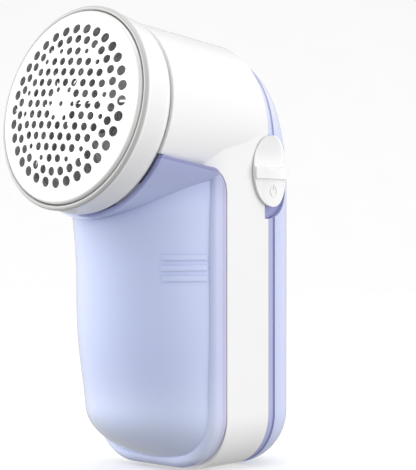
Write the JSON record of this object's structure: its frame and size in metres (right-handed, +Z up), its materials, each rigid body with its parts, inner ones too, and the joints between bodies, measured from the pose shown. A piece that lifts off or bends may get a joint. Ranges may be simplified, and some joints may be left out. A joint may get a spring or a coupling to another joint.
{
  "type": "fabric shaver",
  "caption": "Upright hand-held rechargeable fabric shaver: round perforated foil head over a slide-down lint bin, thumb slider on the side and charging socket in the base.",
  "frame": {"origin": "on the flat of the base, on the middle plane, 4 mm behind the front face of the housing", "axes": "+Z up from the base to the head, -Y the front where the foil looks, +X the side with the power slider"},
  "size_m": [0.0612, 0.0832, 0.1392],
  "materials": {
    "white_shell": "polished white moulding",
    "lavender_cover": "polished lavender moulding",
    "lavender_bin": "slightly milky lavender moulding",
    "foil_steel": "fine satin steel",
    "trim_grey": "satin grey plated plastic",
    "inner_white": "satin moulding",
    "motor_steel": "zinc plated",
    "black_plastic": "satin black",
    "brass": "stamped",
    "bronze": "sintered bronze",
    "magnet": "sintered ferrite",
    "screw_steel": "zinc plated",
    "ground_steel": "ground",
    "core_steel": "stacked laminations",
    "copper": "enamelled copper",
    "hub_grey": "satin grey moulding",
    "blade_steel": "ground edge",
    "lavender_track": "satin lavender moulding",
    "tinned_steel": "tin plated",
    "board_green": "solder mask",
    "cell_wrap": null,
    "foam": "open cell foam",
    "lead_red": "insulated wire",
    "lead_black": "insulated wire"
  },
  "bodies": {
    "housing": {"front_housing": "white_shell", "back_cover": "lavender_cover", "cutter_chamber": "inner_white", "motor_can": "motor_steel", "motor_end_cap": "black_plastic", "motor_terminals": "brass", "motor_bushings": "bronze", "motor_magnets": "magnet", "motor_screws": "screw_steel", "slider_track": "lavender_track", "slide_switch_body": "tinned_steel", "switch_board": "board_green", "battery_cell": "cell_wrap", "battery_tabs": "tinned_steel", "battery_cradle": "black_plastic", "battery_foam_pad": "foam", "charge_board": "board_green", "usb_socket_shell": "tinned_steel", "usb_socket_tongue": "black_plastic", "board_components": "black_plastic", "board_screws": "screw_steel", "housing_screws": "screw_steel", "motor_lead_red": "lead_red", "motor_lead_black": "lead_black", "battery_lead_red": "lead_red", "battery_lead_black": "lead_black"},
    "guard": {"foil_guard": "foil_steel", "foil_frame": "inner_white"},
    "ring": {"head_ring": "white_shell", "ring_trim": "trim_grey"},
    "rotor": {"motor_shaft": "ground_steel", "armature_core": "core_steel", "armature_windings": "copper", "commutator": "copper", "drive_boss": "inner_white"},
    "cutter": {"cutter_hub": "hub_grey", "cutter_blades": "blade_steel", "cutter_spring": "ground_steel"},
    "slider": {"power_slider": "white_shell", "switch_lever": "black_plastic"},
    "bin": {"lint_bin": "lavender_bin"}
  },
  "joints": [
    {"name": "guard_lift", "type": "slide", "parent": "housing", "child": "guard", "axis": [0, -0.9839, 0.1788], "range_m": [0, 0.005]},
    {"name": "ring_turn", "type": "hinge", "parent": "guard", "child": "ring", "pos_m": [0, -0.045, 0.1096], "axis": [0, -0.9839, 0.1788], "range_deg": [0, 450]},
    {"name": "cutter_spin", "type": "hinge", "parent": "housing", "child": "rotor", "pos_m": [0, -0.045, 0.1096], "axis": [0, -0.9839, 0.1788], "continuous": true},
    {"name": "cutter_float", "type": "slide", "parent": "rotor", "child": "cutter", "axis": [0, -0.9839, 0.1788], "range_m": [-0.0008, 0], "stiffness_N_per_m": 300, "springref_m": 0.0015, "deforming": ["cutter_spring"]},
    {"name": "power_slide", "type": "slide", "parent": "housing", "child": "slider", "axis": [0, 0, -1], "range_m": [0, 0.0045]},
    {"name": "bin_slide", "type": "slide", "parent": "housing", "child": "bin", "axis": [0, 0, -1], "range_m": [0, 0.1]}
  ],
  "couplings": [
    {"joint": "ring_turn", "follows": "guard_lift", "rad_per_m": 1570.8}
  ]
}
